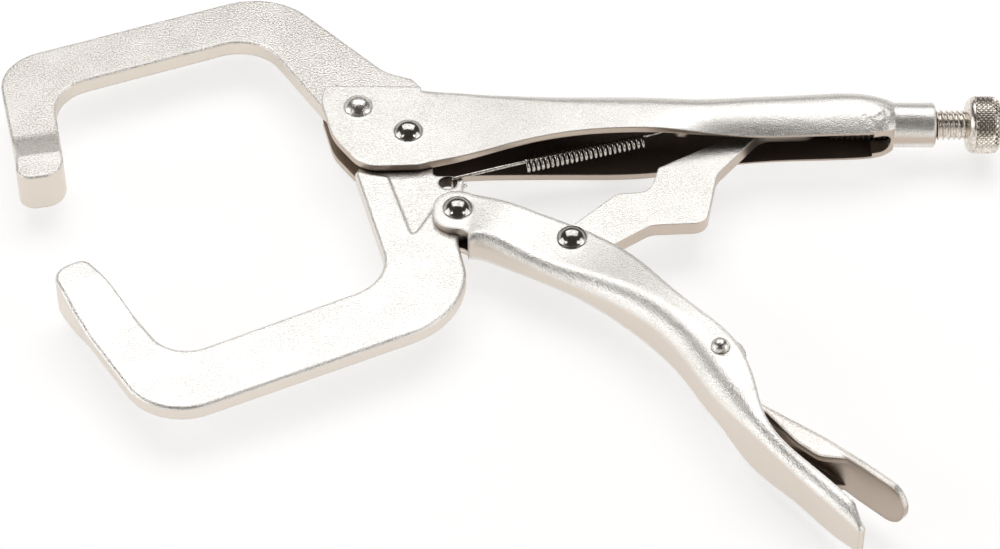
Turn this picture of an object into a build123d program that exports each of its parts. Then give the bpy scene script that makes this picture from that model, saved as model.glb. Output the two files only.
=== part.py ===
from build123d import *
from math import cos, degrees, dist, radians, sin
import os

os.makedirs("parts", exist_ok=True)

# Sizes are in millimetres. The tool lies on its side: X runs along the fixed
# handle towards the adjusting screw, Y lies in the plane that the jaws swing in,
# and Z is the direction of the rivets. The origin is the place on the fixed jaw's
# clamping flat that the moving jaw meets, on the mid-plane. Outlines are drawn
# about the jaw pivot, and a corner of an outline is written as its X, its Y and
# the radius that rounds it.

# Driving sizes
clamp_radius = 103.2
clamp_angle = 191.3
closing_angle = 19.5
sheet = 2.0
jaw_thickness = 5.0
swing_play = 0.1
tang_step = 0.5
nose_thickness = 12.0
link_thickness = 4.0
fit_gap = 0.05
face_gap = 0.3

# Rivets
head_d = 8.15
head_h = 2.7
shank_d = 5.6
small_head_d = 5.0
small_head_h = 2.5
small_shank_d = 3.2
seat_rim = 0.3
head_rim = 0.4

# Places about the jaw pivot
fixed_rivet_at = (-14.2, 10.1)
handle_pivot_at = (14.0, -30.9)
link_pivot_at = (44.9, -42.3)
lever_pivot_at = (82.5, -87.4)
spring_hole_at = (11.2, -18.2)
spring_hole_d = 5.0
lever_span = 9.0
screw_y = 7.4
link_end_x = 110.0

pivot_x = -clamp_radius * cos(radians(clamp_angle))
pivot_y = -clamp_radius * sin(radians(clamp_angle))
cheek_in = jaw_thickness / 2
cheek_out = cheek_in + sheet
swing_half = cheek_in - swing_play
tang_half = swing_half - tang_step
nose_half = nose_thickness / 2
link_half = link_thickness / 2
through = 60.0


def level(height):
    """A drawing plane at this height, centred on the jaw pivot."""
    return Plane((pivot_x, pivot_y, height))


def place(at, height=0.0):
    """A place about the jaw pivot, in the frame of the part."""
    return (pivot_x + at[0], pivot_y + at[1], height)


def polar(radius, angle):
    """A place about the jaw pivot, from its distance and its angle in degrees."""
    return (radius * cos(radians(angle)), radius * sin(radians(angle)))


def beside(at, right, up, radius):
    """A corner of an outline, from its distances to another place."""
    return (at[0] + right, at[1] + up, radius)


def rounded(corners):
    """A closed outline from corners written as X, Y and rounding radius."""
    points = [(x, y) for x, y, radius in corners]
    radii = [radius for x, y, radius in corners]
    FilletPolyline(*points, radius=radii, close=True)


def bore(at, diameter):
    """Cut a hole right through along Z at a place about the jaw pivot."""
    with Locations(place(at)):
        Cylinder(diameter / 2, through, mode=Mode.SUBTRACT)


def seat(at, diameter, half_span):
    """Cut the flats on both sides that a rivet's heads sit on."""
    depth = through / 2 - half_span
    with Locations(place(at, half_span + depth / 2), place(at, -half_span - depth / 2)):
        Cylinder(diameter / 2 + seat_rim, depth, mode=Mode.SUBTRACT)


def finish(made, name):
    """Name a piece and write it."""
    made.part.label = name
    export_step(made.part, "parts/" + name + ".step")


def side_slab(face_angle, side, slope_start, slope_end, bar_half):
    """The nose's side profile, seen across the jaw, as a face to trim with.

    side is 1 where the metal lies anticlockwise of the clamping face, -1 where it
    lies clockwise. The nose thins from slope_start to slope_end.
    """
    x, y = polar(clamp_radius, face_angle)
    along = radians(face_angle + 90 * side)
    side_plane = Plane(
        place((x, y)),
        x_dir=(cos(along), sin(along), 0),
        z_dir=(cos(radians(face_angle)), sin(radians(face_angle)), 0),
    )
    upper = [(-nose_half, nose_half, 0), (slope_start, nose_half, brow_round),
             (slope_end, bar_half, foot_round), (slope_end + nose_overlap, bar_half, 0)]
    lower = [(s, -h, radius) for s, h, radius in reversed(upper)]
    with BuildSketch(side_plane, mode=Mode.PRIVATE) as profile:
        with BuildLine():
            rounded(upper + lower)
        make_face()
    return profile.sketch


def long_edges(made, face_angle):
    """The edges that run round a jaw's outline, on both of its broad sides."""
    across = Axis((0, 0, 0), (*polar(1, face_angle), 0))
    return made.edges().filter_by(Axis.Z, reverse=True).filter_by(across, reverse=True)


# Jaw noses: thick ends with rounded tips and a narrow flat to clamp with
brow_round = 3.0
foot_round = 14.0
nose_overlap = 24.0
moving_face_angle = clamp_angle + closing_angle + degrees(face_gap / clamp_radius)
fixed_face = polar(clamp_radius, clamp_angle)
moving_face = polar(clamp_radius, moving_face_angle)

# Fixed jaw: a forged C-shaped bar
tang_relief = 9.0
fixed_nose_length = 30.0
fixed_nose_out = 5.8
fixed_nose_in = 5.8
fixed_slope = (9.6, 19.2)
fixed_edge_round = 0.6
fixed_jaw_outline = [
    (3.1, 3.0, 0),
    (3.1, 20.8, 0.6),
    (0.6, 24.2, 2.0),
    (-7.0, 27.0, 14.0),
    (-40.4, 62.3, 21.0),
    beside(fixed_face, -17.0, 51.1, 14.0),
    beside(fixed_face, -6.7, 8.2, 6.0),
    (*polar(clamp_radius + fixed_nose_out, clamp_angle), 4.6),
    (*polar(clamp_radius - fixed_nose_in, clamp_angle), 5.6),
    beside(fixed_face, 6.6, 7.0, 6.0),
    beside(fixed_face, 0.1, 40.2, 12.0),
    (-44.0, 43.2, 13.5),
    (-21.0, 6.6, 0),
    (-17.6, 3.0, 0),
]

with BuildPart() as fixed_nose:
    with BuildSketch(level(0)):
        with BuildLine():
            rounded(fixed_jaw_outline)
        make_face()
    extrude(amount=nose_half, both=True)
    extrude(side_slab(clamp_angle, -1, *fixed_slope, cheek_in), amount=through, both=True,
            mode=Mode.INTERSECT)
    with BuildSketch(level(-nose_half)):
        with Locations(fixed_face):
            Circle(fixed_nose_length)
    extrude(amount=nose_thickness, mode=Mode.INTERSECT)

with BuildPart() as fixed_jaw:
    with BuildSketch(level(0)):
        with BuildLine():
            rounded(fixed_jaw_outline)
        make_face()
    extrude(amount=cheek_in, both=True)
    add(fixed_nose.part)
    fillet(long_edges(fixed_jaw, clamp_angle), fixed_edge_round)
    bore((0, 0), 2 * tang_relief)
    bore(fixed_rivet_at, shank_d)
finish(fixed_jaw, "fixed_jaw")

# Moving jaw: an L-shaped arm whose thinner tang swings between the cheeks
tang_r = 8.0
tang_boss_r = 6.0
moving_nose_length = 36.0
moving_nose_out = 6.9
moving_nose_in = 3.6
moving_slope = (8.0, 24.0)
moving_edge_round = 1.0
step_slope = 45.0
moving_jaw_outline = [
    (-8.0, 0.0, 0),
    (-14.4, -14.5, 0),
    (-3.3, -56.0, 13.5),
    beside(moving_face, 28.6, -32.0, 11.0),
    beside(moving_face, 10.9, -7.0, 8.0),
    (*polar(clamp_radius - moving_nose_in, moving_face_angle), 3.4),
    (*polar(clamp_radius + moving_nose_out, moving_face_angle), 5.2),
    beside(moving_face, 1.6, -17.3, 14.0),
    beside(moving_face, 25.6, -54.8, 17.0),
    (15.2, -69.8, 25.0),
    (16.6, -53.0, 12.0),
    (14.2, -41.5, 10.0),
    (15.6, -15.6, 2.0),
    (7.0, -15.3, 1.5),
    (7.0, 0.0, 0),
]
thin_tang = [
    (-20.0, -12.0, 0),
    (-5.0, -16.0, 1.0),
    (1.9, -39.5, 0.8),
    (9.5, -24.0, 1.5),
    (25.0, -21.0, 0),
    (25.0, 20.0, 0),
    (-20.0, 20.0, 0),
]

with BuildPart() as moving_nose:
    with BuildSketch(level(0)):
        with BuildLine():
            rounded(moving_jaw_outline)
        make_face()
    extrude(amount=nose_half, both=True)
    extrude(side_slab(moving_face_angle, 1, *moving_slope, swing_half), amount=through, both=True,
            mode=Mode.INTERSECT)
    with BuildSketch(level(-nose_half)):
        with Locations(moving_face):
            Circle(moving_nose_length)
    extrude(amount=nose_thickness, mode=Mode.INTERSECT)

with BuildPart() as tang_step_cut:
    with BuildSketch(level(tang_half)):
        with BuildLine():
            rounded(thin_tang)
        make_face()
    extrude(amount=tang_step, taper=-step_slope)
    mirror(about=Plane.XY)

with BuildPart() as moving_jaw:
    with BuildSketch(level(0)):
        with BuildLine():
            rounded(moving_jaw_outline)
        make_face()
    extrude(amount=swing_half, both=True)
    add(moving_nose.part)
    fillet(long_edges(moving_jaw, moving_face_angle), moving_edge_round)
    with BuildSketch(level(0)):
        Circle(tang_r)
        with Locations(handle_pivot_at):
            Circle(tang_boss_r)
    extrude(amount=swing_half, both=True)
    add(tang_step_cut.part, mode=Mode.SUBTRACT)
    bore((0, 0), shank_d + 2 * fit_gap)
    bore(handle_pivot_at, shank_d)
    bore(spring_hole_at, spring_hole_d)
finish(moving_jaw, "moving_jaw")


def channel_section(half, top, corner, lip_half, lip):
    """The closed outline of a channel's outside, or of the hollow inside it.

    The web is at the top, with rounded corners, and the walls come down to lips
    that may be drawn in.
    """
    shoulder = top - corner
    inner = half - corner
    bend = corner * sin(radians(45))
    fall = lip - shoulder
    Line((-inner, top), (inner, top))
    ThreePointArc((inner, top), (inner + bend, shoulder + bend), (half, shoulder))
    Spline((half, shoulder), (lip_half, lip), tangents=((0, -1), (lip_half - half, fall / 2)))
    Line((lip_half, lip), (-lip_half, lip))
    Spline((-lip_half, lip), (-half, shoulder), tangents=((lip_half - half, -fall / 2), (0, 1)))
    ThreePointArc((-half, shoulder), (-inner - bend, shoulder + bend), (-inner, top))


# Fixed handle: a channel pressed from sheet, with two flat cheeks in front that
# hold the jaws, and a round boss at the back for the adjusting screw.
# Stations are X, web height, half width, corner radius, lip half width, lip height.
fixed_stations = [
    (3.2, 18.5, cheek_out, 2.5, cheek_out, -13.6),
    (14.5, 17.0, cheek_out + 0.1, 2.8, cheek_out + 0.2, -10.6),
    (25.5, 14.9, 6.6, 4.0, 6.6, -8.2),
    (46.0, 12.9, 9.4, 7.0, 9.4, -5.1),
    (61.0, 12.9, 10.0, 8.0, 10.0, -4.3),
    (70.0, 12.85, 9.8, 8.0, 9.4, -3.9),
    (81.6, 12.9, 9.3, 8.0, 7.2, -3.4),
    (93.4, 14.0, 8.7, 7.6, 5.4, -2.9),
    (115.0, 15.8, 8.2, 7.4, 5.0, -1.9),
    (124.0, 16.3, 8.1, 7.4, 5.0, -1.5),
    (129.5, 15.7, 7.8, 7.2, 4.9, -1.0),
    (135.5, 13.9, 6.5, 6.2, 4.0, 1.4),
]
mouth = 3.0
boss_r = 6.3
boss_start = 134.6
boss_end = 147.3
boss_bevel = 0.5
screw_d = 8.65
hollow_end = 127.0
slot_end = 134.6
slot_half = 3.0
lug_half = 1.0
lug_hole_at = (76.5, 5.3)
lug_hole_d = 2.0
lug_outline = [
    (73.6, 11.9, 0),
    (79.4, 11.9, 0),
    (79.2, 3.4, 2.4),
    (73.8, 3.4, 2.4),
]
cheek_outline = [
    (6.0, 15.0, 0),
    (3.5, 15.4, 0),
    (3.2, 18.5, 0.5),
    (-24.0, 18.9, 2.0),
    (-24.5, 12.0, 6.0),
    (-21.0, -2.0, 20.0),
    (-12.5, -14.2, 9.0),
    (3.2, -13.6, 8.0),
    (6.0, -12.6, 0),
]

with BuildPart() as fixed_handle:
    for x, top, half, corner, lip_half, lip in fixed_stations:
        with BuildSketch(Plane(place((x, 0)), x_dir=(0, 0, -1), z_dir=(1, 0, 0))):
            with BuildLine():
                channel_section(half, top, corner, lip_half, lip)
            make_face()
    loft()
    for x, top, half, corner, lip_half, lip in fixed_stations[:-1]:
        with BuildSketch(Plane(place((x, 0)), x_dir=(0, 0, -1), z_dir=(1, 0, 0))):
            with BuildLine():
                channel_section(half - sheet, top - sheet, max(corner - sheet, 0.5),
                                lip_half - sheet, lip - mouth)
            make_face()
    loft(mode=Mode.SUBTRACT)
    with BuildSketch(level(cheek_in), level(-cheek_out)):
        with BuildLine():
            rounded(cheek_outline)
        make_face()
    extrude(amount=sheet)
    with BuildSketch(Plane(place((boss_start, screw_y)), x_dir=(0, 0, -1), z_dir=(1, 0, 0))):
        Circle(boss_r)
    extrude(amount=boss_end - boss_start)
    chamfer(edges().sort_by(Axis.X)[-1], boss_bevel)
    with BuildSketch(level(0)):
        with BuildLine():
            rounded(lug_outline)
        make_face()
        with Locations(lug_hole_at):
            Circle(lug_hole_d / 2, mode=Mode.SUBTRACT)
    extrude(amount=lug_half, both=True)
    with BuildSketch(Plane(place((hollow_end, screw_y)), x_dir=(0, 0, -1), z_dir=(1, 0, 0))):
        Circle(screw_d / 2 + fit_gap)
    extrude(amount=boss_end - hollow_end, mode=Mode.SUBTRACT)
    with BuildSketch(Plane(place((0, screw_y)), x_dir=(1, 0, 0), z_dir=(0, -1, 0))):
        with Locations(((hollow_end + slot_end - slot_half) / 2, 0)):
            Rectangle(slot_end - slot_half - hollow_end, 2 * slot_half)
        with Locations((slot_end - slot_half, 0)):
            Circle(slot_half)
    extrude(amount=through, mode=Mode.SUBTRACT)
    bore((0, 0), shank_d)
    bore(fixed_rivet_at, shank_d)
    seat((0, 0), head_d, cheek_out)
    seat(fixed_rivet_at, head_d, cheek_out)
finish(fixed_handle, "fixed_handle")

# Lower handle: the squeezing half, a channel that opens towards the fixed handle
# and flattens into a trough at its end. Stations are the web's X and Y, the lip's
# X and Y, the half width and the corner radius.
lower_stations = [
    (16.8, -43.3, 17.6, -25.3, cheek_out, 2.8),
    (31.9, -50.0, 38.0, -33.8, cheek_out, 3.2),
    (44.4, -57.6, 52.6, -42.4, cheek_out + 0.3, 4.0),
    (56.8, -66.7, 65.6, -57.2, 7.2, 5.5),
    (66.5, -76.5, 74.6, -69.7, 8.6, 6.2),
    (72.9, -86.0, 83.4, -80.1, 9.0, 6.8),
    (79.1, -98.0, 89.45, -92.9, 9.0, 6.8),
    (83.9, -106.1, 91.2, -102.2, 9.0, 6.0),
    (90.8, -116.9, 94.1, -114.5, 8.8, 3.7),
    (98.3, -126.2, 101.0, -123.9, 7.6, 3.4),
    (105.2, -134.9, 108.1, -132.1, 7.4, 3.4),
    (110.9, -141.8, 113.7, -139.0, 7.0, 3.4),
    (114.6, -146.2, 117.4, -143.4, 6.6, 3.4),
]
grip_tip = (116.3, -145.6)
grip_angle = -45.5
grip_r = 4.2
grip_dir = (cos(radians(grip_angle)), sin(radians(grip_angle)), 0)
grip_plane = Plane(
    place(grip_tip),
    x_dir=grip_dir,
    z_dir=(-sin(radians(grip_angle)), cos(radians(grip_angle)), 0),
)
grip_plan = [(0, -4.4, grip_r), (0, 4.4, grip_r), (-8, 7.3, 12.0), (-40, 9.5, 0), (-60, 15, 0),
             (-220, 15, 0), (-220, -15, 0), (-60, -15, 0), (-40, -9.5, 0), (-8, -7.3, 12.0)]
lip_trim = [(-9.5, 4.6, 0), (-2.4, 0.4, 1.5), (4.0, 0.4, 0), (4.0, 9.0, 0), (-9.5, 9.0, 0)]
ear_outline = [
    (20.5, -27.0, 0),
    (15.9, -24.1, 6.0),
    (7.2, -24.1, 6.4),
    (7.2, -38.2, 6.4),
    (15.6, -39.2, 3.0),
    (16.8, -40.4, 0),
    (20.5, -40.6, 0),
]

with BuildPart() as lower_handle:
    for px, py, lx, ly, half, corner in lower_stations:
        rise = dist((px, py), (lx, ly))
        up = ((px - lx) / rise, (py - ly) / rise, 0)
        with BuildSketch(Plane(place((lx, ly)), x_dir=(0, 0, -1), z_dir=(up[1], -up[0], 0))):
            with BuildLine():
                channel_section(half, rise, corner, half, 0)
            make_face()
    loft()
    for px, py, lx, ly, half, corner in lower_stations:
        rise = dist((px, py), (lx, ly))
        up = ((px - lx) / rise, (py - ly) / rise, 0)
        with BuildSketch(Plane(place((lx, ly)), x_dir=(0, 0, -1), z_dir=(up[1], -up[0], 0))):
            with BuildLine():
                channel_section(half - sheet, rise - sheet, max(corner - sheet, 0.5),
                                half - sheet, -mouth)
            make_face()
    loft(mode=Mode.SUBTRACT)
    with BuildSketch(grip_plane):
        with BuildLine():
            rounded(grip_plan)
        make_face()
    extrude(amount=through * 2, both=True, mode=Mode.INTERSECT)
    with BuildSketch(Plane(place(grip_tip), x_dir=grip_dir, z_dir=(0, 0, 1))):
        with BuildLine():
            rounded(lip_trim)
        make_face()
    extrude(amount=through, both=True, mode=Mode.SUBTRACT)
    with BuildSketch(level(cheek_in), level(-cheek_out)):
        with BuildLine():
            rounded(ear_outline)
        make_face()
    extrude(amount=sheet)
    bore(handle_pivot_at, shank_d + 2 * fit_gap)
    bore(link_pivot_at, shank_d)
    bore(lever_pivot_at, small_shank_d)
    seat(handle_pivot_at, head_d, cheek_out)
    seat(link_pivot_at, head_d, cheek_out)
    seat(lever_pivot_at, small_head_d, lever_span)
finish(lower_handle, "lower_handle")

# Toggle link: a flat plate from the lower handle to the adjusting screw's tip
link_eye_r = 6.2
link_end_r = 4.5
link_outline = [
    (38.8, -42.3, 0),
    (46.0, -34.2, 4.0),
    (57.5, -22.7, 3.0),
    (66.6, -21.9, 5.0),
    (69.2, -12.4, 0.8),
    (108.2, 11.9, 4.0),
    (110.0, 11.9, 0),
    (110.0, 2.9, 0),
    (98.5, 2.4, 6.0),
    (85.3, -14.7, 8.0),
    (81.6, -34.0, 4.5),
    (66.4, -34.9, 6.0),
    (57.1, -41.7, 6.0),
    (49.3, -47.1, 3.0),
    (44.9, -48.5, 0),
]

with BuildPart() as toggle_link:
    with BuildSketch(level(0)):
        with BuildLine():
            rounded(link_outline)
        make_face()
        with Locations(link_pivot_at):
            Circle(link_eye_r)
        with Locations((link_end_x, screw_y)):
            Circle(link_end_r)
        with Locations(link_pivot_at):
            Circle(shank_d / 2 + fit_gap, mode=Mode.SUBTRACT)
    extrude(amount=link_half, both=True)
finish(toggle_link, "toggle_link")

# Release lever: a narrow pressed channel with its web on the thumb's side
lever_half = 5.9
lever_sheet = 1.8
lever_ear_r = 6.9
lever_tip_r = 5.9
lever_tip_half = 6.4
lever_tip = (127.8, -135.2)
lever_tip_angle = -45.0
lever_back = [(70.6, -70.6), (87.0, -81.8), (90.8, -103.4), (109.5, -117.3), lever_tip]
lever_back_rounds = [5.0, 9.0, 60.0]
lever_flank = [(117.7, -126.2, 0), (113.8, -123.6, 4.0), (106.0, -122.6, 6.0),
               (100.5, -117.5, 8.0), (93.7, -107.9, 20.0), (80.7, -91.0, 6.0),
               (70.9, -73.2, 0.9), (70.9, -71.2, 0.7)]
lever_walls = [(86.6, -82.2, 5.0), (90.4, -103.6, 9.0), (109.1, -117.5, 60.0),
               (118.6, -126.8, 0), *lever_flank]
lever_keep = [
    (92.3, -113.9, 0),
    (80.7, -91.0, 6.0),
    (66.3, -65.4, 0),
    (76.0, -60.0, 0),
    (110.0, -90.0, 0),
    (110.0, -114.0, 0),
]
lever_plane = Plane(
    place(lever_tip),
    x_dir=(cos(radians(lever_tip_angle)), sin(radians(lever_tip_angle)), 0),
    z_dir=(-sin(radians(lever_tip_angle)), cos(radians(lever_tip_angle)), 0),
)
lever_plan = [(0, -lever_tip_half, lever_tip_r), (0, lever_tip_half, lever_tip_r),
              (-14, lever_tip_half, 20.0), (-22, lever_half, 20.0), (-100, lever_half, 0),
              (-100, -lever_half, 0), (-22, -lever_half, 20.0), (-14, -lever_tip_half, 20.0)]

with BuildPart() as release_lever:
    with BuildSketch(level(0)):
        with BuildLine():
            FilletPolyline(*lever_back, radius=lever_back_rounds)
            offset(amount=lever_sheet, side=Side.RIGHT)
        make_face()
    extrude(amount=lever_tip_half, both=True)
    with BuildSketch(lever_plane):
        with BuildLine():
            rounded(lever_plan)
        make_face()
    extrude(amount=through, both=True, mode=Mode.INTERSECT)
    with BuildSketch(level(lever_half - lever_sheet), level(-lever_half)):
        with BuildLine():
            rounded(lever_keep)
        make_face()
        with Locations(lever_pivot_at):
            Circle(lever_ear_r, mode=Mode.INTERSECT)
        with BuildLine():
            rounded(lever_walls)
        make_face()
    extrude(amount=lever_sheet)
    bore(lever_pivot_at, small_shank_d + 2 * fit_gap)
finish(release_lever, "release_lever")

# Adjusting screw: a threaded stem with a knurled head
tip_gap = 3.0
screw_tip = link_end_x + link_end_r + tip_gap
tip_bevel = 1.0
head_start = 156.0
screw_head_end = 165.5
screw_head_d = 16.3
screw_head_round = 1.6
screw_head_bevel = 1.0
screw_profile = [
    (screw_tip, 0, 0),
    (screw_tip, screw_d / 2 - tip_bevel, 0),
    (screw_tip + tip_bevel, screw_d / 2, 0),
    (head_start, screw_d / 2, 0),
    (head_start, screw_head_d / 2, screw_head_round),
    (screw_head_end - screw_head_bevel, screw_head_d / 2, 0),
    (screw_head_end, screw_head_d / 2 - screw_head_bevel, 0),
    (screw_head_end, 0, 0),
]

with BuildPart() as adjusting_screw:
    with BuildSketch(Plane(place((0, screw_y)))):
        with BuildLine():
            rounded(screw_profile)
        make_face()
    revolve(axis=Axis(place((0, screw_y)), (1, 0, 0)))
finish(adjusting_screw, "adjusting_screw")

# Tension spring: pulls the moving jaw open from the fixed handle's lug
coil_from = (32.2, -9.2)
coil_to = (66.5, 1.2)
coil_d = 4.4
wire_d = 0.9
coil_length = dist(coil_from, coil_to)
coil_dir = ((coil_to[0] - coil_from[0]) / coil_length, (coil_to[1] - coil_from[1]) / coil_length, 0)
wire_r = wire_d / 2
coil_mean_r = coil_d / 2 - wire_r
hook_rise = tang_half + wire_r + 0.2
lug_rise = lug_half + wire_r + 0.2
front_hook = [(33.2, -8.9, coil_mean_r), (30.8, -10.2, coil_mean_r + 0.2),
              (12.6, -17.2, hook_rise),
              (12.6, -17.2, -hook_rise), (16.2, -14.4, -hook_rise)]
rear_hook = [(65.8, 1.0, coil_mean_r), (68.4, 2.0, lug_rise), (*lug_hole_at, lug_rise),
             (*lug_hole_at, -lug_rise)]

with BuildPart() as tension_spring:
    with BuildSketch(Plane(place(coil_from), z_dir=coil_dir)):
        Circle(coil_d / 2)
        Circle(coil_d / 2 - wire_d, mode=Mode.SUBTRACT)
    extrude(amount=coil_length)
    with BuildLine() as front_wire:
        Polyline(*[place((x, y), z) for x, y, z in front_hook])
    with BuildSketch(front_wire.line ^ 0):
        Circle(wire_r)
    sweep(path=front_wire.line, transition=Transition.RIGHT)
    with BuildLine() as rear_wire:
        Polyline(*[place((x, y), z) for x, y, z in rear_hook])
    with BuildSketch(rear_wire.line ^ 0):
        Circle(wire_r)
    sweep(path=rear_wire.line, transition=Transition.RIGHT)
finish(tension_spring, "tension_spring")


def rivet(at, diameter, height, shank, half_span):
    """A rivet along Z with a domed head on both ends, revolved about its axis."""
    rim = diameter / 2
    crown = half_span + height
    rim_top = half_span + head_rim
    with BuildPart() as made:
        with BuildSketch(Plane(place(at), x_dir=(1, 0, 0), z_dir=(0, -1, 0))):
            with BuildLine():
                TangentArc((0, -crown), (rim, -rim_top), tangent=(1, 0))
                Polyline((rim, -rim_top), (rim, -half_span), (shank / 2, -half_span),
                         (shank / 2, half_span), (rim, half_span), (rim, rim_top))
                TangentArc((0, crown), (rim, rim_top), tangent=(1, 0))
                Line((0, crown), (0, -crown))
            make_face()
        revolve(axis=Axis(place(at), (0, 0, 1)))
    return made


fixed_jaw_rivet = rivet(fixed_rivet_at, head_d, head_h, shank_d, cheek_out)
finish(fixed_jaw_rivet, "fixed_jaw_rivet")
jaw_pivot_rivet = rivet((0, 0), head_d, head_h, shank_d, cheek_out)
finish(jaw_pivot_rivet, "jaw_pivot_rivet")
handle_pivot_rivet = rivet(handle_pivot_at, head_d, head_h, shank_d, cheek_out)
finish(handle_pivot_rivet, "handle_pivot_rivet")
link_rivet = rivet(link_pivot_at, head_d, head_h, shank_d, cheek_out)
finish(link_rivet, "link_rivet")
release_lever_rivet = rivet(lever_pivot_at, small_head_d, small_head_h, small_shank_d, lever_span)
finish(release_lever_rivet, "release_lever_rivet")
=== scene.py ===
# %% [markdown]
# # Welding locking pliers
# This notebook dresses a pair of C-clamp locking pliers. The solids come from a packed
# model that is the fixed frame of the scene, in metres: every piece sits where the model
# has it and moves with the body that it rides on. The real tool is forged and pressed
# steel, blasted with grit and then nickel plated. So nearly all of the work is in the
# nickel, in the room that it mirrors, and in the pieces that the frame holds as plain
# shapes: the wound spring, the threaded stem and the knurled head.

# %% Load the frame and keep its box
import math

import bmesh
import bpy
from mathutils import Matrix, Vector


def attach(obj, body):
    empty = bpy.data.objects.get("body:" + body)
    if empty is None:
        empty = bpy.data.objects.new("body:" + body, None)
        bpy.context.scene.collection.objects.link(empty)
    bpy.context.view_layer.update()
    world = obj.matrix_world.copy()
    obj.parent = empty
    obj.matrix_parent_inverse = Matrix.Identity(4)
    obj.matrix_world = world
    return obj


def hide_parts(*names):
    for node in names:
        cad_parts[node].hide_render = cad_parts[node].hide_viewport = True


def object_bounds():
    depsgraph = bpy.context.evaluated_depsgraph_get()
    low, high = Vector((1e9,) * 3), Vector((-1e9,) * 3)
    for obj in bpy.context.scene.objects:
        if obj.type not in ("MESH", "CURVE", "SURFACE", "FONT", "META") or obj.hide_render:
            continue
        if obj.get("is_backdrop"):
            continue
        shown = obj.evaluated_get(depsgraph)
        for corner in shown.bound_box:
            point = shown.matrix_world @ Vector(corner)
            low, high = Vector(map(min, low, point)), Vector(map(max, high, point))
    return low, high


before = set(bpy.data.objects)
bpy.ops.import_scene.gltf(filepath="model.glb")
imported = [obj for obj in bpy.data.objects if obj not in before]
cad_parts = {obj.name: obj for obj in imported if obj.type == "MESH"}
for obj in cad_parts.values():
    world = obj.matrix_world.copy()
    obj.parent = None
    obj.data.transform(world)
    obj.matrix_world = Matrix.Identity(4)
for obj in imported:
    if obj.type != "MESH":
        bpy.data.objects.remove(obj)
scene = bpy.context.scene


def box_numbers():
    """The lowest and the highest corner of everything that shows, as plain lists."""
    low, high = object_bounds()
    return [list(low), list(high)]


frame_box = box_numbers()
print("nodes:", sorted(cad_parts))
print("frame box, mm:", [[round(v * 1000, 1) for v in corner] for corner in frame_box])

# %% [markdown]
# ## Where things are
# Sizes are written in millimetres, as a maker would say them, and turned to metres at
# the last moment. The jaw pivot is the natural centre of this tool, so places along the
# mid-plane are given from it. The frame's own origin is where the two jaws meet, which
# lies on a circle round the pivot.

# %% Millimetres and the jaw pivot
MM = 0.001
CLAMP_RADIUS = 103.2
CLAMP_ANGLE = math.radians(191.3)
PIVOT = Vector((-CLAMP_RADIUS * math.cos(CLAMP_ANGLE), -CLAMP_RADIUS * math.sin(CLAMP_ANGLE), 0))


def at(x, y, z=0.0):
    """A place given from the jaw pivot in millimetres, as metres in the frame."""
    return (PIVOT + Vector((x, y, z))) * MM


print("jaw pivot, mm:", [round(v, 2) for v in PIVOT])

# %% [markdown]
# ## The camera
# The photograph looks down at the tool at 45 degrees, from the side of the lower handle.
# The lens is long, about 121 mm on a 36 mm sensor, because the two jaws show almost the
# same scale. The camera stands 900 mm from a place near the middle of the tool. The
# Standard view keeps white nickel on a white floor white, where a film-like view would
# turn it grey.

# %% Camera
CAMERA_DISTANCE = 900.0
CAMERA_TILT = math.radians(45)
SENSOR = 36.0
LENS = 3.357 * SENSOR
camera_data = bpy.data.cameras.new("camera")
camera_data.lens = LENS
camera_data.sensor_width = SENSOR
camera_data.clip_start = 0.05
camera_data.clip_end = 20.0
camera = bpy.data.objects.new("camera", camera_data)
scene.collection.objects.link(camera)
middle_of_tool = at(25.5, -51.9)
backwards = Vector((0, -math.cos(CAMERA_TILT), math.sin(CAMERA_TILT)))
camera.location = middle_of_tool + backwards * CAMERA_DISTANCE * MM
camera.rotation_euler = (math.radians(90) - CAMERA_TILT, 0, 0)
scene.camera = camera
scene.view_settings.view_transform = "Standard"
print("camera lens, mm:", round(LENS, 1))

# %% [markdown]
# ## Colour and node helpers
# Colours are kept as the hex values that a screen shows, and one function turns them to
# the linear values that a shader wants. One more function adds a node with its settings
# and its links, so that a material reads as a short list of what it is made of. Some
# sockets share a name, so an input may also be given by its number: a Mix node has its
# share in 0 and its two colours in 6 and 7, and its output 2 is their mix. A noise texture
# has about one bump per unit, so the scale for a bump of a known size in millimetres is 1
# over that size in metres.

# %% Helpers for colour and nodes


def linear(hex_colour):
    """An sRGB hex colour such as 'C9C2B8' as linear RGBA."""
    channels = [int(hex_colour[i:i + 2], 16) / 255 for i in (0, 2, 4)]
    return tuple(c / 12.92 if c <= 0.04045 else ((c + 0.055) / 1.055) ** 2.4 for c in channels) + (1.0,)


def per_metre(size_mm):
    """The scale of a pattern whose bumps are this many millimetres across."""
    return 1 / (size_mm * MM)


def add(tree, kind, settings=None, **inputs):
    """Add a node. settings are its own properties, inputs are values or sockets, by name or _number."""
    node = tree.nodes.new(kind)
    for name, value in (settings or {}).items():
        setattr(node, name, value)
    for name, value in inputs.items():
        socket = node.inputs[int(name[1:])] if name[0] == "_" else node.inputs[name.replace("_", " ")]
        if isinstance(value, bpy.types.NodeSocket):
            tree.links.new(value, socket)
        else:
            socket.default_value = value
    return node


def new_material(name):
    """An empty node material, and its tree."""
    material = bpy.data.materials.new(name)
    material.use_nodes = True
    material.node_tree.nodes.clear()
    return material, material.node_tree


print("one bump of 0.4 mm needs a scale of", per_metre(0.4))

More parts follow.
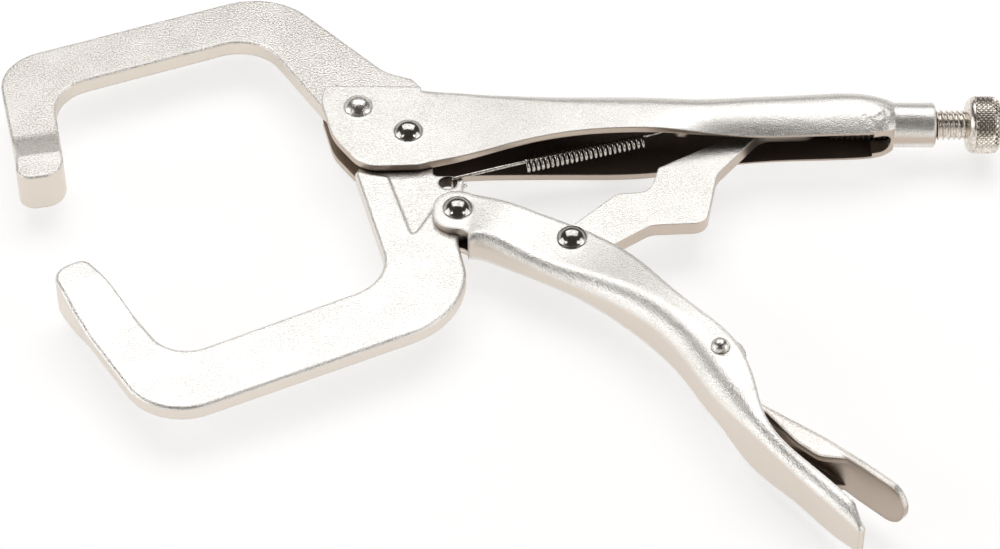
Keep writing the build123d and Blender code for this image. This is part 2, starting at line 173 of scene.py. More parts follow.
# %% [markdown]
# ## Satin nickel over blasted steel
# The jaws, the link and both handles are blasted with grit before they are plated, so the
# nickel is no mirror: it is a warm white satin whose pebbled grain breaks every highlight
# into sparkle. The grain could be a picture wrapped round the tool, but a noise in the
# piece's own space needs no unwrapping and has one size everywhere. Real grit leaves pits
# of 0.1 to 0.2 mm, too fine for one pixel here, so the grain is drawn at 0.36 to 0.5 mm.
# It shows most where a face turns over a bend, and on an upright wall, which is rubbed
# smooth, it fades. How far a face is turned is read from its normal: the tool lies flat, so
# a flat face looks along Z.

# %% The grain of blasted steel
PATCH_MM = 11


def blasted_grain(tree, where, facing, pebble_mm):
    """The pebbles, the wide patches of wear, how flat a face lies, and how much grain it has."""
    pebbles = add(tree, "ShaderNodeTexNoise", Vector=where, Scale=per_metre(pebble_mm), Detail=1.5,
                  Roughness=0.5).outputs["Fac"]
    patches = add(tree, "ShaderNodeTexNoise", Vector=where, Scale=per_metre(PATCH_MM), Detail=3.0,
                  Roughness=0.6).outputs["Fac"]
    along_z = add(tree, "ShaderNodeSeparateXYZ", Vector=facing).outputs["Z"]
    up = add(tree, "ShaderNodeMath", {"operation": "ABSOLUTE"}, _0=along_z).outputs[0]
    flat = add(tree, "ShaderNodeMapRange", {"interpolation_type": "SMOOTHSTEP"}, Value=up,
               From_Min=0.08, From_Max=0.4).outputs["Result"]
    bend = add(tree, "ShaderNodeMapRange", Value=up, From_Min=0.995, From_Max=0.9,
               To_Min=0.6, To_Max=1.0).outputs["Result"]
    off_wall = add(tree, "ShaderNodeMapRange", Value=flat, To_Min=0.2, To_Max=1.0).outputs["Result"]
    grainy = add(tree, "ShaderNodeMath", {"operation": "MULTIPLY"}, _0=bend, _1=off_wall).outputs[0]
    return pebbles, patches, flat, grainy


print("wear comes in patches of", PATCH_MM, "mm")

# %% [markdown]
# ## The colour of the plate
# Nickel is a little yellower than silver. It is lightest on the crystals that stand up from
# the grain and a shade darker between them, and rubbed patches are evenly light. Walls, the
# faces that turn sideways, are given a darker beige: painted shade, standing in for the floor
# and the tool's shadow that they mirror. Where two pieces meet, the crease is darkened with
# painted shade. An ambient occlusion node finds such places, so no crease has to be marked
# by hand.

# %% Light crystals, worn patches, and painted shade on walls and in creases
CREASE_REACH_MM = 3.0
CREASE_SHADE = "6B5D52"


def plate_colour(tree, pebbles, patches, flat, light, dark, wall_shade):
    """The colour of blasted and plated steel, from three hex colours, with painted shade on its walls and
    in its creases.
    """
    crystals = add(tree, "ShaderNodeMapRange", Value=pebbles, From_Min=0.34, From_Max=0.6).outputs["Result"]
    grain = add(tree, "ShaderNodeMix", {"data_type": "RGBA"}, _0=crystals, _6=linear(dark),
                _7=linear(light)).outputs[2]
    worn = add(tree, "ShaderNodeMapRange", Value=patches, From_Min=0.4, From_Max=0.68,
               To_Max=0.5).outputs["Result"]
    rubbed = add(tree, "ShaderNodeMix", {"data_type": "RGBA"}, _0=worn, _6=grain,
                 _7=linear(light)).outputs[2]
    # Painted shade: faces that turn sideways take the darker beige wall colour.
    plated = add(tree, "ShaderNodeMix", {"data_type": "RGBA"}, _0=flat, _6=linear(wall_shade),
                 _7=rubbed).outputs[2]
    # Painted shade: where the occlusion node finds a crease, the colour is darkened to a brown shade.
    open_sky = add(tree, "ShaderNodeAmbientOcclusion", {"samples": 8},
                   Distance=CREASE_REACH_MM * MM).outputs["AO"]
    crease = add(tree, "ShaderNodeMapRange", Value=open_sky, From_Min=0.64, From_Max=0.25,
                 To_Max=0.85).outputs["Result"]
    return add(tree, "ShaderNodeMix", {"data_type": "RGBA"}, _0=crease, _6=plated,
               _7=linear(CREASE_SHADE)).outputs[2]


print("creases darken within", CREASE_REACH_MM, "mm")

# %% [markdown]
# ## The wall of a drilled hole
# The hole for the spring is drilled through the jaw's tang, and its wall is painted dark
# brown as the shade inside the hole. The solid has one finish all over, so the wall is found
# by its distance from the hole's axis.

# %% Paint shade on a drilled hole's wall
HOLE_EDGE_MM = 0.06
HOLE_SHADE = "4A3F37"


def shaded_hole(tree, where, colour, place, radius_mm):
    """The colour, turned to a dark brown painted shade within a radius of an axis that stands along Z."""
    level = add(tree, "ShaderNodeVectorMath", {"operation": "MULTIPLY"}, _0=where,
                _1=(1, 1, 0)).outputs["Vector"]
    off = add(tree, "ShaderNodeVectorMath", {"operation": "DISTANCE"}, _0=level,
              _1=place).outputs["Value"]
    bored = add(tree, "ShaderNodeMath", {"operation": "LESS_THAN"}, _0=off,
                _1=(radius_mm + HOLE_EDGE_MM) * MM).outputs[0]
    return add(tree, "ShaderNodeMix", {"data_type": "RGBA"}, _0=bored, _6=colour,
               _7=linear(HOLE_SHADE)).outputs[2]


print("a drilled wall is", HOLE_SHADE)

# %% [markdown]
# ## Folds at the crimped neck
# Behind the barrel the sheet is crimped round the screw's boss, and the extra metal gathers
# in shallow folds. They could be sculpted, but they are only 0.6 mm deep, so a bump that
# fades out round one place is enough.

# %% Crumple the plate round one place
FOLD_MM = 3.2


def crimped(tree, where, normal, place, reach_mm, depth_mm):
    """The normal, with folds that fade out at a reach from a place."""
    away = add(tree, "ShaderNodeVectorMath", {"operation": "DISTANCE"}, _0=where,
               _1=place).outputs["Value"]
    near = add(tree, "ShaderNodeMapRange", {"interpolation_type": "SMOOTHSTEP"}, Value=away,
               From_Min=reach_mm * MM, From_Max=0.35 * reach_mm * MM).outputs["Result"]
    folds = add(tree, "ShaderNodeTexNoise", Vector=where, Scale=per_metre(FOLD_MM), Detail=1.5,
                Distortion=0.4).outputs["Fac"]
    return add(tree, "ShaderNodeBump", Strength=near, Distance=depth_mm * MM, Height=folds,
               Normal=normal).outputs["Normal"]


print("folds are", FOLD_MM, "mm across")

# %% [markdown]
# ## Inside a folded channel
# Inside the folded handles the steel is dull and dark: its duller, rougher finish is given
# by the shader, and its dark colour is painted shade for the deep channel. A face is inside
# where it looks back at its channel's axis, so its normal is compared with its place from
# that axis. The weights leave out the directions in which the axis runs. In front, between
# the fixed handle's cheeks, more light gets in, so the painted shade may be lighter there
# and change along X.

# %% Paint shade on a channel's inside
CHANNEL_FADE_MM = 12


def shaded_inside(tree, where, facing, normal, surface, centre, weights, front, deep, front_mm):
    """The surface, replaced by dull steel in painted shade on the faces that look at the channel's axis."""
    outward = add(tree, "ShaderNodeVectorMath", {"operation": "SUBTRACT"}, _0=where,
                  _1=centre).outputs["Vector"]
    across = add(tree, "ShaderNodeVectorMath", {"operation": "MULTIPLY"}, _0=outward,
                 _1=weights).outputs["Vector"]
    turned = add(tree, "ShaderNodeVectorMath", {"operation": "DOT_PRODUCT"}, _0=across,
                 _1=facing).outputs["Value"]
    inside = add(tree, "ShaderNodeMapRange", Value=turned, From_Min=-0.4 * MM,
                 From_Max=-1.2 * MM).outputs["Result"]
    along_x = add(tree, "ShaderNodeSeparateXYZ", Vector=where).outputs["X"]
    back = add(tree, "ShaderNodeMapRange", Value=along_x, From_Min=at(front_mm, 0).x,
               From_Max=at(front_mm + CHANNEL_FADE_MM, 0).x).outputs["Result"]
    shade_colour = add(tree, "ShaderNodeMix", {"data_type": "RGBA"}, _0=back, _6=linear(front),
               _7=linear(deep)).outputs[2]
    shaded_steel = add(tree, "ShaderNodeBsdfPrincipled", Base_Color=shade_colour, Metallic=0.3, Roughness=0.55,
               Normal=normal)
    return add(tree, "ShaderNodeMixShader", _0=inside, _1=surface, _2=shaded_steel.outputs["BSDF"]).outputs[0]


print("a channel changes colour over", CHANNEL_FADE_MM, "mm")

# %% [markdown]
# ## The satin finish as a whole
# Now the parts make one finish. Blasting and tumbling also break every sharp edge, and the
# solids have sharp ones, so a Bevel node bends the light at an edge as if it were rounded.
# The satin has a roughness of 0.30, and a little more in the patches that aren't worn. Much
# below that, the renderer's noise filter takes the plate for a mirror and wipes its grain
# away in places.

# %% The satin nickel finish
SATIN_ROUGHNESS = 0.30


def satin_nickel(name, light, dark, wall_shade, pebble_mm, depth_mm, edge_mm,
                 channel=None, dents=None, hole=None):
    """Nickel plate over blasted steel, with pebbles of a size and depth and edges of a radius.

    channel is (centre, weights, front colour, deep colour, front_mm), the two colours painted
    shade for the channel's inside; dents is (place, reach_mm, depth_mm) and hole is (place,
    radius_mm), a hole whose wall takes painted shade. The wall colour is painted shade for faces
    that turn sideways.
    """
    material, tree = new_material(name)
    coordinates = add(tree, "ShaderNodeTexCoord")
    where, facing = coordinates.outputs["Object"], coordinates.outputs["Normal"]
    pebbles, patches, flat, grainy = blasted_grain(tree, where, facing, pebble_mm)
    colour = plate_colour(tree, pebbles, patches, flat, light, dark, wall_shade)
    # A drilled hole's wall takes painted shade.
    if hole:
        colour = shaded_hole(tree, where, colour, *hole)
    rough = add(tree, "ShaderNodeMapRange", Value=patches, From_Min=0.35, From_Max=0.65,
                To_Min=SATIN_ROUGHNESS + 0.05, To_Max=SATIN_ROUGHNESS).outputs["Result"]
    rounded = add(tree, "ShaderNodeBevel", {"samples": 4}, Radius=edge_mm * MM).outputs["Normal"]
    normal = add(tree, "ShaderNodeBump", Strength=grainy, Distance=depth_mm * MM, Height=pebbles,
                 Normal=rounded).outputs["Normal"]
    if dents:
        normal = crimped(tree, where, normal, *dents)
    skin = add(tree, "ShaderNodeBsdfPrincipled", Base_Color=colour, Metallic=1.0, Roughness=rough,
               Normal=normal)
    surface = skin.outputs["BSDF"]
    # The faces inside a channel take painted shade.
    if channel:
        surface = shaded_inside(tree, where, facing, normal, surface, *channel)
    add(tree, "ShaderNodeOutputMaterial", Surface=surface)
    return material


print("the satin has a roughness of", SATIN_ROUGHNESS)

# %% [markdown]
# ## One satin for each way of making
# The forged jaws were blasted hardest and have the coarsest grain, above all the fixed one.
# The moving jaw has the spring's hole, whose wall is painted dark as shade. The two handles
# and the lever are pressed from sheet and folded, so they have a channel whose inside is
# painted dark as shade, and the fixed handle has its crimped neck. The link is stamped from
# flat plate, with crisp edges.

# %% Satin finishes
# Each finish's wall colour is a darker beige: painted shade for its sideways faces.
forged_nickel = satin_nickel(
    "satin_nickel_on_forged_steel", light="F7F4F0", dark="BFB9B1", wall_shade="DFD6CB",
    pebble_mm=0.5, depth_mm=0.24, edge_mm=1.1)
# The wall of the spring's hole in this jaw takes painted shade.
jaw_nickel = satin_nickel(
    "satin_nickel_on_drilled_jaw", light="F8F6F3", dark="D6D2CC", wall_shade="E2D9CF",
    pebble_mm=0.42, depth_mm=0.16, edge_mm=1.1, hole=(at(11.2, -18.2), 2.5))
# The inside of this handle's channel is painted dark as shade.
pressed_nickel = satin_nickel(
    "satin_nickel_on_pressed_sheet", light="F8F6F3", dark="DAD6D0", wall_shade="DED4C9",
    pebble_mm=0.38, depth_mm=0.17, edge_mm=1.6,
    channel=(at(0, 0), (0, 0, 1), "3E342D", "3E342D", 0))
# The inside of the lever's channel is painted a lighter brown shade.
lever_nickel = satin_nickel(
    "satin_nickel_on_pressed_lever", light="F0ECE6", dark="CFC9C1", wall_shade="BFB1A4",
    pebble_mm=0.38, depth_mm=0.17, edge_mm=1.8,
    channel=(at(0, 0), (0, 0, 1), "6E5F53", "6E5F53", 0))
# The inside of this handle's channel is painted shade, lighter in front where more light gets in.
handle_nickel = satin_nickel(
    "satin_nickel_on_folded_handle", light="F8F6F2", dark="D8D4CE", wall_shade="C6B8AA",
    pebble_mm=0.36, depth_mm=0.15, edge_mm=0.7,
    channel=(at(0, 7.4), (0, 1, 1), "9C8878", "54483F", -14),
    dents=(at(131, 2.5, 7.5), 7.0, 0.6))
link_nickel = satin_nickel(
    "satin_nickel_on_stamped_plate", light="F8F6F2", dark="D8D4CE", wall_shade="CDC0B3",
    pebble_mm=0.38, depth_mm=0.15, edge_mm=0.5)
print("satin finishes:", forged_nickel.name, jaw_nickel.name, pressed_nickel.name)
print("and:", lever_nickel.name, handle_nickel.name, link_nickel.name)

# %% [markdown]
# ## Bright nickel
# The rivets, the screw and the spring are turned or drawn, not blasted, so their plate is
# smooth and mirrors the room in small hard highlights. They still have marks of the work:
# the rivets were hammered, so a faint dent here and there bends what they mirror, and specks
# of tarnish make the plate darker and duller. Two noises, one for each, say it all. The
# rivets that were set last are scuffed, and nearly as dull as satin.

# %% The bright nickel finish
TARNISH_MM = 0.8


def bright_nickel(name, light, dark, roughness, dent_mm, depth_mm):
    """Smooth nickel plate with faint dents and a little tarnish."""
    material, tree = new_material(name)
    where = add(tree, "ShaderNodeTexCoord").outputs["Object"]
    hammered = add(tree, "ShaderNodeTexNoise", Vector=where, Scale=per_metre(dent_mm),
                   Detail=2.0).outputs["Fac"]
    tarnish = add(tree, "ShaderNodeTexNoise", Vector=where, Scale=per_metre(TARNISH_MM),
                  Detail=4.0).outputs["Fac"]
    clean = add(tree, "ShaderNodeMapRange", Value=tarnish, From_Min=0.35, From_Max=0.6).outputs["Result"]
    colour = add(tree, "ShaderNodeMix", {"data_type": "RGBA"}, _0=clean, _6=linear(dark),
                 _7=linear(light)).outputs[2]
    rough = add(tree, "ShaderNodeMapRange", Value=clean, To_Min=roughness + 0.08,
                To_Max=roughness).outputs["Result"]
    normal = add(tree, "ShaderNodeBump", Strength=1.0, Distance=depth_mm * MM,
                 Height=hammered).outputs["Normal"]
    skin = add(tree, "ShaderNodeBsdfPrincipled", Base_Color=colour, Metallic=1.0, Roughness=rough,
               Normal=normal)
    add(tree, "ShaderNodeOutputMaterial", Surface=skin.outputs["BSDF"])
    return material


rivet_nickel = bright_nickel("bright_nickel_on_hammered_rivets", light="C9C7C4", dark="A9A6A2",
                             roughness=0.12, dent_mm=1.6, depth_mm=0.04)
scuffed_nickel = bright_nickel("scuffed_nickel_on_set_rivet", light="EEEBE7", dark="CBC6C0",
                               roughness=0.24, dent_mm=0.7, depth_mm=0.1)
screw_nickel = bright_nickel("bright_nickel_on_turned_screw", light="F0EAE2", dark="CCC3B8",
                             roughness=0.22, dent_mm=1.2, depth_mm=0.02)
spring_nickel = bright_nickel("bright_nickel_on_spring_wire", light="D8D3CC", dark="9C968E",
                              roughness=0.17, dent_mm=0.9, depth_mm=0.01)
print("bright finishes:", rivet_nickel.name, scuffed_nickel.name, screw_nickel.name, spring_nickel.name)

# %% [markdown]
# ## Give the frame's solids their finish
# A solid of the frame keeps its mesh as it is, and only its material slots are filled. The
# fixed handle, the screw and the spring get a finish too, though finer pieces take their
# place further down.

# %% Finish each solid
finishes = {
    "fixed_jaw": forged_nickel,
    "moving_jaw": jaw_nickel,
    "fixed_handle": handle_nickel,
    "lower_handle": pressed_nickel,
    "release_lever": lever_nickel,
    "toggle_link": link_nickel,
    "adjusting_screw": screw_nickel,
    "tension_spring": spring_nickel,
    "fixed_jaw_rivet": scuffed_nickel,
    "jaw_pivot_rivet": rivet_nickel,
    "handle_pivot_rivet": rivet_nickel,
    "link_rivet": rivet_nickel,
    "release_lever_rivet": scuffed_nickel,
}
for node, finish in finishes.items():
    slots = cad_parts[node].material_slots
    for one in slots:
        one.material = finish
    print(node, "takes", finish.name, "in", len(slots), "slot")

# %% [markdown]
# ## Helpers for new pieces
# A thread, a knurled head and a wound spring are all a small profile taken round an axis,
# which is what the spin operator does: with a step along the axis at each turn it winds a
# helix. One helper draws such a profile, and the other merges a finished shape's doubles,
# turns its faces outward, marks its sharp edges and keeps it as a piece that rides on a body.

# %% Draw a profile and keep a piece


def profile(shape, points):
    """A line of edges through points in millimetres from the jaw pivot."""
    verts = [shape.verts.new(at(*point)) for point in points]
    edges = [shape.edges.new(pair) for pair in zip(verts, verts[1:])]
    return verts + edges


def keep_piece(name, shape, finish, body, sharp):
    """Turn a bmesh into a finished piece that rides on a body, smooth up to a sharp angle in degrees."""
    bmesh.ops.remove_doubles(shape, verts=shape.verts, dist=0.002 * MM)
    bmesh.ops.recalc_face_normals(shape, faces=shape.faces)
    for face in shape.faces:
        face.smooth = True
    for edge in shape.edges:
        edge.smooth = not (len(edge.link_faces) == 2 and edge.calc_face_angle(0) > math.radians(sharp))
    open_edges = sum(1 for edge in shape.edges if len(edge.link_faces) != 2)
    mesh = bpy.data.meshes.new(name)
    shape.to_mesh(mesh)
    shape.free()
    piece = bpy.data.objects.new(name, mesh)
    scene.collection.objects.link(piece)
    mesh.materials.append(finish)
    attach(piece, body)
    print(name, "has", len(mesh.polygons), "faces and", open_edges, "open edges")
    return piece


print("helpers for new pieces are ready")

# %% [markdown]
# ## One sheet from cheek to barrel
# On the real handle the flat cheeks and the folded body are one sheet that widens smoothly.
# In the frame's solid the body's skin starts up to half a millimetre inside the cheek, so
# they meet in a step. It is nothing to hold, but a glossy face shows it as a line. A new
# handle would be a lot of work for so little, so the handle is drawn by a copy of its mesh,
# and only the skin behind the cheek is laid on a smooth flank. The flank is flat at the
# cheek and has the body's own width and slope at its other end. Its round upper edge follows
# three stations of the solid.

# %% The smooth flank behind the cheek
CHEEK_END, CHEEK_HALF = 6.0, 4.5
FLANK_END, FLANK_HALF, FLANK_SLOPE = 24.0, 6.3, 0.18
STATIONS = ((3.2, 18.5, 2.5), (14.5, 17.0, 2.8), (25.5, 14.9, 4.0))


def flank(x, y):
    """Half the handle's width at a place, and how far up the round edge that is, from 0 to 1.

    A station is its X, its height and the radius of its round edge.
    """
    run = min(max((x - CHEEK_END) / (FLANK_END - CHEEK_END), 0), 1)
    widening = (FLANK_HALF - CHEEK_HALF) * (3 * run ** 2 - 2 * run ** 3)
    lead = FLANK_SLOPE * (FLANK_END - CHEEK_END) * (run ** 3 - run ** 2)
    before, after = STATIONS[:2] if x < STATIONS[1][0] else STATIONS[1:]
    part = (x - before[0]) / (after[0] - before[0])
    top, corner = (a + (b - a) * part for a, b in zip(before[1:], after[1:]))
    rise = max(0, y - (top - corner))
    round_edge = math.sqrt(max(0, corner ** 2 - rise ** 2))
    return CHEEK_HALF + widening + lead - corner + round_edge, rise / corner


print("flank, mm:", [round(flank(x, 0)[0], 2) for x in (6, 12, 18, 24)])

# %% [markdown]
# ## The handle's skin
# A copy of a solid's mesh is loose triangles, so its doubles are merged first. A corner
# belongs to the outer skin where it lies near the flank: the inner skin lies 2 mm further
# in. The top of the round edge, where a small change of height is a large one of width,
# stays as it is. Moving the other corners squeezes the step's own faces flat, and merging
# and dissolving takes them away. Weighted normals then keep the large flats flat.

# %% Lay the handle's skin on the flank
SKIN_FROM = 3.0
SKIN_INSIDE, SKIN_OUTSIDE = 0.75, 0.4
FLAT_PART = 0.8
skin = bmesh.new()
skin.from_mesh(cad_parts["fixed_handle"].data)
bmesh.ops.remove_doubles(skin, verts=skin.verts, dist=0.001 * MM)
levelled = []
for vert in skin.verts:
    x, y, z = vert.co / MM - PIVOT
    width, up_the_edge = flank(x, y)
    near_flank = width - SKIN_INSIDE < abs(z) < width + SKIN_OUTSIDE
    if SKIN_FROM < x < FLANK_END and up_the_edge < FLAT_PART and near_flank:
        vert.co.z = math.copysign(width, z) * MM
        levelled.append(vert)
print("levelled", len(levelled), "corners of the handle's skin")
bmesh.ops.remove_doubles(skin, verts=levelled, dist=0.03 * MM)
bmesh.ops.dissolve_degenerate(skin, edges=skin.edges, dist=0.01 * MM)
handle_piece = keep_piece("handle_skin", skin, handle_nickel, "frame", sharp=35)
handle_piece.modifiers.new("flat_faces_stay_flat", "WEIGHTED_NORMAL").keep_sharp = True
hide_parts("fixed_handle")

# %% [markdown]
# ## The adjusting screw's thread
# The stem has a coarse rolled thread with a pitch of 1.5 mm, rounded at its crests and
# roots. Stacked rings would do for a straight look, but a real thread leans, and this one
# is right-handed. One pitch of its outline is spun round the stem's axis while it moves one
# pitch for each turn, so each turn joins on to the last. Then the two ragged ends are cut
# off flat and filled, and the tip gets its chamfer by an inset.

# %% Wind the thread
SCREW_Y = 7.4
TIP = 117.5
HEAD = 156.0
PITCH = 1.5
ROOT = 3.62
CREST = 4.3
CHAMFER, CHAMFER_HEIGHT = 0.6, 0.9
IN_NECK = 0.4
STEPS_ROUND = 24
turns = math.ceil((HEAD - TIP) / PITCH) + 2
thread = bmesh.new()
start = TIP - 1.5 * PITCH
one_pitch = ((0, ROOT), (0.22, ROOT + 0.02), (0.5, CREST - 0.12), (0.68, CREST), (0.86, CREST - 0.12),
             (1.2, ROOT + 0.04), (PITCH, ROOT))
outline = profile(thread, [(start + x, SCREW_Y + radius) for x, radius in one_pitch])
bmesh.ops.spin(thread, geom=outline, cent=at(0, SCREW_Y), axis=(1, 0, 0),
               dvec=(PITCH / STEPS_ROUND * MM, 0, 0), angle=2 * math.pi * turns,
               steps=STEPS_ROUND * turns, use_merge=False)
bmesh.ops.remove_doubles(thread, verts=thread.verts, dist=0.004 * MM)
for cut, away in ((TIP + CHAMFER, -1), (HEAD - IN_NECK, 1)):
    bmesh.ops.bisect_plane(thread, geom=thread.verts[:] + thread.edges[:] + thread.faces[:],
                           dist=0.0001 * MM, plane_co=at(cut, 0), plane_no=(away, 0, 0), clear_outer=True)
bmesh.ops.holes_fill(thread, edges=[edge for edge in thread.edges if edge.is_boundary], sides=0)
tip_cap = min(thread.faces, key=lambda face: face.calc_center_median().x)
bmesh.ops.inset_region(thread, faces=[tip_cap], thickness=CHAMFER_HEIGHT * MM, depth=CHAMFER * MM,
                       use_even_offset=True)
keep_piece("screw_thread", thread, screw_nickel, "screw", sharp=70)

# %% [markdown]
# ## The adjusting screw's head
# The head is turned in one piece with the stem: a short neck, a smooth rounded front
# shoulder and a flat rear face with a small dimple from the lathe's centre. A lathe is a
# spin, so its outline is spun once round. The knurl is a band of its own, so here the head
# stays just under the bottom of the grooves.

# %% Turn the head
NECK = ((155.0, 0), (155.0, 3.4), (155.5, 3.85), (155.8, 4.25), (156.02, 4.9))
SHOULDER = ((156.1, 5.7), (156.3, 6.45), (156.65, 7.05), (157.1, 7.5), (157.6, 7.83), (158.05, 8.0),
            (158.25, 7.96), (158.35, 7.75))
UNDER_KNURL = ((158.4, 7.4), (164.6, 7.2), (165.1, 7.0))
REAR_FACE = ((165.42, 6.6), (165.5, 6.1), (165.5, 1.6), (165.2, 1.2), (165.0, 0))
LATHE_STEPS = 72
head = bmesh.new()
outline = profile(head, [(x, SCREW_Y + radius) for x, radius in NECK + SHOULDER + UNDER_KNURL + REAR_FACE])
bmesh.ops.spin(head, geom=outline, cent=at(0, SCREW_Y), axis=(1, 0, 0), angle=2 * math.pi,
               steps=LATHE_STEPS, use_merge=True)
head_piece = keep_piece("screw_head", head, screw_nickel, "screw", sharp=55)

# %% [markdown]
# ## The diamond knurl
# Two wheels roll crossed grooves into the head, and what stays between them is a field of
# small pyramids about 1.3 mm wide. A bump map would leave the head's outline smooth, so they
# are modelled. A band of squares is spun round the head. Poking each square adds its
# diagonals, and dissolving the sides of the squares leaves diamonds. These are poked again,
# this time outwards, so every diamond becomes a pyramid. At the rear the band bends in with
# the head's edge, and its two rims are drawn in until they end inside the head.

# %% Roll the knurl
KNURL_FROM, KNURL_TO = 158.3, 164.75
GROOVE = 7.62
REAR_BEND = 0.42
PYRAMID = 0.5
DRAWN_IN = 0.9
COLUMNS, ROWS = 36, 5
knurl = bmesh.new()
row_length = (KNURL_TO - KNURL_FROM) / ROWS
band = [(KNURL_FROM + row * row_length, SCREW_Y + GROOVE) for row in range(ROWS)]
band.append((KNURL_TO, SCREW_Y + GROOVE - REAR_BEND))
bmesh.ops.spin(knurl, geom=profile(knurl, band), cent=at(0, SCREW_Y), axis=(1, 0, 0), angle=2 * math.pi,
               steps=COLUMNS, use_merge=True)
bmesh.ops.remove_doubles(knurl, verts=knurl.verts, dist=0.002 * MM)
bmesh.ops.recalc_face_normals(knurl, faces=knurl.faces)
middle = at((KNURL_FROM + KNURL_TO) / 2, SCREW_Y)
sample = knurl.faces[0]
if sample.normal.dot(sample.calc_center_median() - middle) < 0:
    bmesh.ops.reverse_faces(knurl, faces=knurl.faces)
sides = knurl.edges[:]
bmesh.ops.poke(knurl, faces=knurl.faces[:], offset=0.0)
bmesh.ops.dissolve_edges(knurl, edges=[edge for edge in sides if edge.is_valid and not edge.is_boundary],
                         use_verts=False)
bmesh.ops.poke(knurl, faces=knurl.faces[:], offset=PYRAMID * MM, use_relative_offset=False)
rims = bmesh.ops.extrude_edge_only(knurl, edges=[edge for edge in knurl.edges if edge.is_boundary])["geom"]
bmesh.ops.scale(knurl, vec=(1, DRAWN_IN, DRAWN_IN), space=Matrix.Translation(-at(0, SCREW_Y)),
                verts=[item for item in rims if isinstance(item, bmesh.types.BMVert)])
keep_piece("screw_knurl", knurl, screw_nickel, "screw", sharp=25)
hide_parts("adjusting_screw")

# %% [markdown]
# ## The tension spring
# The real spring is wound from wire of about 0.9 mm and is stretched a little, so daylight
# shows between its turns. Here the wire is 1 mm, a little thick, so that single turns show
# from the camera. A curve with a round bevel could wind it too, but a spin gives every turn
# the same few faces. So a circle, the wire's section, is spun round the spring's axis with a
# step along it, and the two ends are filled.

# %% Wind the coil
WIRE = 1.0
COIL_RADIUS = 1.7
COIL_FROM = Vector((32.2, -9.2, 0))
COIL_TO = Vector((66.5, 1.2, 0))
COIL_TURNS = 25
COIL_STEPS = 14
along = (COIL_TO - COIL_FROM).normalized()
coil_length = (COIL_TO - COIL_FROM).length - WIRE
up_side = Vector((0, 0, 1))
coil_start = COIL_FROM + along * WIRE / 2 + up_side * COIL_RADIUS
tangent = up_side.cross(along)
section = Matrix.Translation(at(*coil_start)) @ tangent.to_track_quat("Z", "Y").to_matrix().to_4x4()
coil = bmesh.new()
ring = bmesh.ops.create_circle(coil, segments=8, radius=WIRE / 2 * MM, matrix=section)["verts"]
ring_edges = list({edge for vert in ring for edge in vert.link_edges})
bmesh.ops.spin(coil, geom=ring + ring_edges, cent=at(*COIL_FROM), axis=along,
               dvec=along * coil_length / (COIL_TURNS * COIL_STEPS) * MM,
               angle=2 * math.pi * COIL_TURNS, steps=COIL_TURNS * COIL_STEPS)
bmesh.ops.holes_fill(coil, edges=[edge for edge in coil.edges if edge.is_boundary], sides=0)
coil_piece = keep_piece("spring_coil", coil, spring_nickel, "frame", sharp=70)

# %% [markdown]
# ## The spring's hooks
# The wire runs on at both ends: in front to a hook through the moving jaw's tang, behind to
# a hook in a lug under the handle's web. A hook is a bent wire, so it is drawn as a smooth
# curve through a few places, given a round bevel, and made a mesh.

# %% Bend the two hooks


def bent_wire(name, points):
    """Keep a spring wire that is bent smoothly past the given places, as a mesh piece."""
    line = bpy.data.curves.new(name, "CURVE")
    line.dimensions = "3D"
    line.bevel_depth = WIRE / 2 * MM
    line.bevel_resolution = 2
    line.use_fill_caps = True
    spline = line.splines.new("NURBS")
    spline.points.add(len(points) - 1)
    for point, place in zip(spline.points, points):
        point.co = (*at(*place), 1.0)
    spline.order_u = 3
    spline.use_endpoint_u = True
    spline.resolution_u = 5
    drawn = bpy.data.objects.new(name + "_line", line)
    scene.collection.objects.link(drawn)
    bpy.context.view_layer.update()
    bent = drawn.evaluated_get(bpy.context.evaluated_depsgraph_get())
    shape = bmesh.new()
    shape.from_mesh(bpy.data.meshes.new_from_object(bent))
    bpy.data.objects.remove(drawn)
    keep_piece(name, shape, spring_nickel, "frame", sharp=70)


bent_wire("spring_front_hook", [
    (32.5, -9.5, 1.72), (30.8, -10.2, 1.9), (22.0, -13.6, 2.25), (14.0, -16.7, 2.55),
    (12.6, -17.2, 2.55), (12.6, -17.2, 1.6), (12.6, -17.2, -1.6), (12.6, -17.2, -2.55),
    (13.2, -16.7, -2.55), (16.2, -14.4, -2.55)])
bent_wire("spring_rear_hook", [
    (65.9, 1.0, 1.72), (68.4, 2.0, 1.65), (75.6, 5.0, 1.65), (76.5, 5.3, 1.65),
    (76.5, 5.3, 0.8), (76.5, 5.3, -1.65)])
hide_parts("tension_spring")

# %% [markdown]
# ## The floor
# The photograph was taken on plain white. A floor that is only lit would be grey where the
# tool shades it, so this one is a light grey that also glows: with the light on it, it comes
# out white, keeps a soft shadow, and lights the undersides of the tool as white paper does.

# %% Floor
FLOOR_GAP_MM = 0.5
HALF_FLOOR = 3.0
floor_shape = bmesh.new()
bmesh.ops.create_grid(floor_shape, x_segments=1, y_segments=1, size=HALF_FLOOR)
floor_mesh = bpy.data.meshes.new("floor")
floor_shape.to_mesh(floor_mesh)
floor_shape.free()
floor = bpy.data.objects.new("floor", floor_mesh)
scene.collection.objects.link(floor)
floor.location = (0, 0, frame_box[0][2] - FLOOR_GAP_MM * MM)
floor_paint, tree = new_material("matte_white_studio_floor")
floor_skin = add(tree, "ShaderNodeBsdfPrincipled", Base_Color=linear("BDBCBB"), Roughness=0.9,
                 Specular_IOR_Level=0.1, Emission_Color=linear("FFFFFF"), Emission_Strength=0.6)
add(tree, "ShaderNodeOutputMaterial", Surface=floor_skin.outputs["BSDF"])
floor_mesh.materials.append(floor_paint)
floor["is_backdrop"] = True
print("floor at", round(floor.location.z * 1000, 1), "mm")

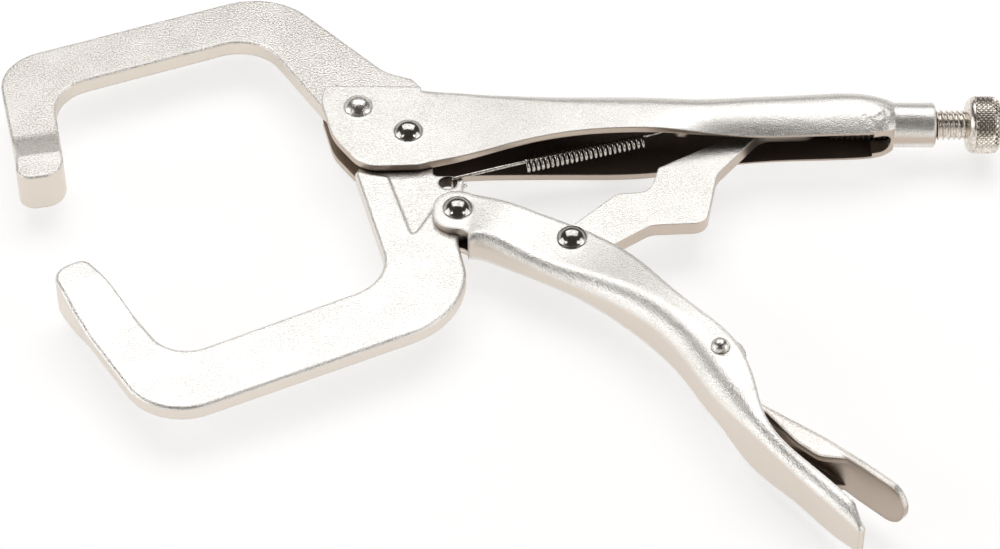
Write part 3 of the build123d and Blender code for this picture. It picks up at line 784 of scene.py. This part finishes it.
# %% [markdown]
# ## The lights
# Metal shows what is round it, so the room is as much a part of the finish as the shader.
# One big soft panel hangs above and behind the tool: flat faces that look up mirror its
# lower part, and its upper edge is where the dark grainy band along every bend begins. A
# second one lights only the floor and doesn't show in the metal. Two low panels at the sides
# light the ends of the jaws and the slopes, and two small bright ones give the crescents in
# the domes of the rivets. Each panel is given by the direction it is seen in and by its
# brightness, because that is what the metal shows.

# %% Lights
LIT_PLACE = at(30, -40)


def soft_panel(name, azimuth, elevation, distance, width, height, radiance, in_metal=True):
    """A rectangular light of a given brightness, seen from the tool in a direction in degrees."""
    turn, rise = math.radians(azimuth), math.radians(elevation)
    towards = Vector((math.cos(rise) * math.cos(turn), math.cos(rise) * math.sin(turn), math.sin(rise)))
    lamp = bpy.data.lights.new(name, "AREA")
    lamp.shape = "RECTANGLE"
    lamp.size = width
    lamp.size_y = height
    lamp.energy = radiance * width * height * math.pi
    panel = bpy.data.objects.new(name, lamp)
    scene.collection.objects.link(panel)
    panel.location = LIT_PLACE + towards * distance
    panel.rotation_euler = (-towards).to_track_quat("-Z", "Y").to_euler()
    panel.visible_glossy = in_metal
    print(name, "gives", round(lamp.energy, 1), "W")


soft_panel("back_softbox", 90, 61.5, distance=1.5, width=1.8, height=1.22, radiance=1.83)
soft_panel("floor_softbox", 90, 85, distance=1.5, width=2.2, height=2.2, radiance=0.5, in_metal=False)
soft_panel("left_panel", 190, 20, distance=1.4, width=0.9, height=0.75, radiance=1.6)
soft_panel("right_panel", 347, 22, distance=1.4, width=0.9, height=0.75, radiance=1.5)
soft_panel("left_spot", 218, 36, distance=1.3, width=0.22, height=0.3, radiance=3.0)
soft_panel("right_spot", 322, 36, distance=1.3, width=0.22, height=0.3, radiance=3.0)

# %% [markdown]
# ## The walls of the room
# Low down the walls are pale all round, and that keeps the walls of the tool light. Higher
# up they fade to a dark ceiling, and over the camera that is what the bends and the rivets
# mirror. The world's colour depends only on the height of the direction looked in.

# %% Walls of the room
PALE_BELOW = math.radians(8)
DARK_ABOVE = math.radians(24)
world = bpy.data.worlds.new("studio")
scene.world = world
world.use_nodes = True
tree = world.node_tree
tree.nodes.clear()
direction = add(tree, "ShaderNodeTexCoord").outputs["Generated"]
height = add(tree, "ShaderNodeSeparateXYZ", Vector=direction).outputs["Z"]
ceiling = add(tree, "ShaderNodeMapRange", {"interpolation_type": "SMOOTHSTEP"}, Value=height,
              From_Min=math.sin(PALE_BELOW), From_Max=math.sin(DARK_ABOVE)).outputs["Result"]
room = add(tree, "ShaderNodeMix", {"data_type": "RGBA"}, _0=ceiling, _6=linear("EEECE9"),
           _7=linear("45403C")).outputs[2]
background = add(tree, "ShaderNodeBackground", Color=room, Strength=1.0)
add(tree, "ShaderNodeOutputWorld", Surface=background.outputs["Background"])
print("room walls:", len(tree.nodes), "nodes")

# %% [markdown]
# ## Sizes of the frame and the dressed tool
# Both boxes are printed, in millimetres. The dressed tool may not grow out of the
# frame's box.

# %% Sizes and the end
print("dressed box, mm:", [[round(v * 1000, 1) for v in corner] for corner in box_numbers()])
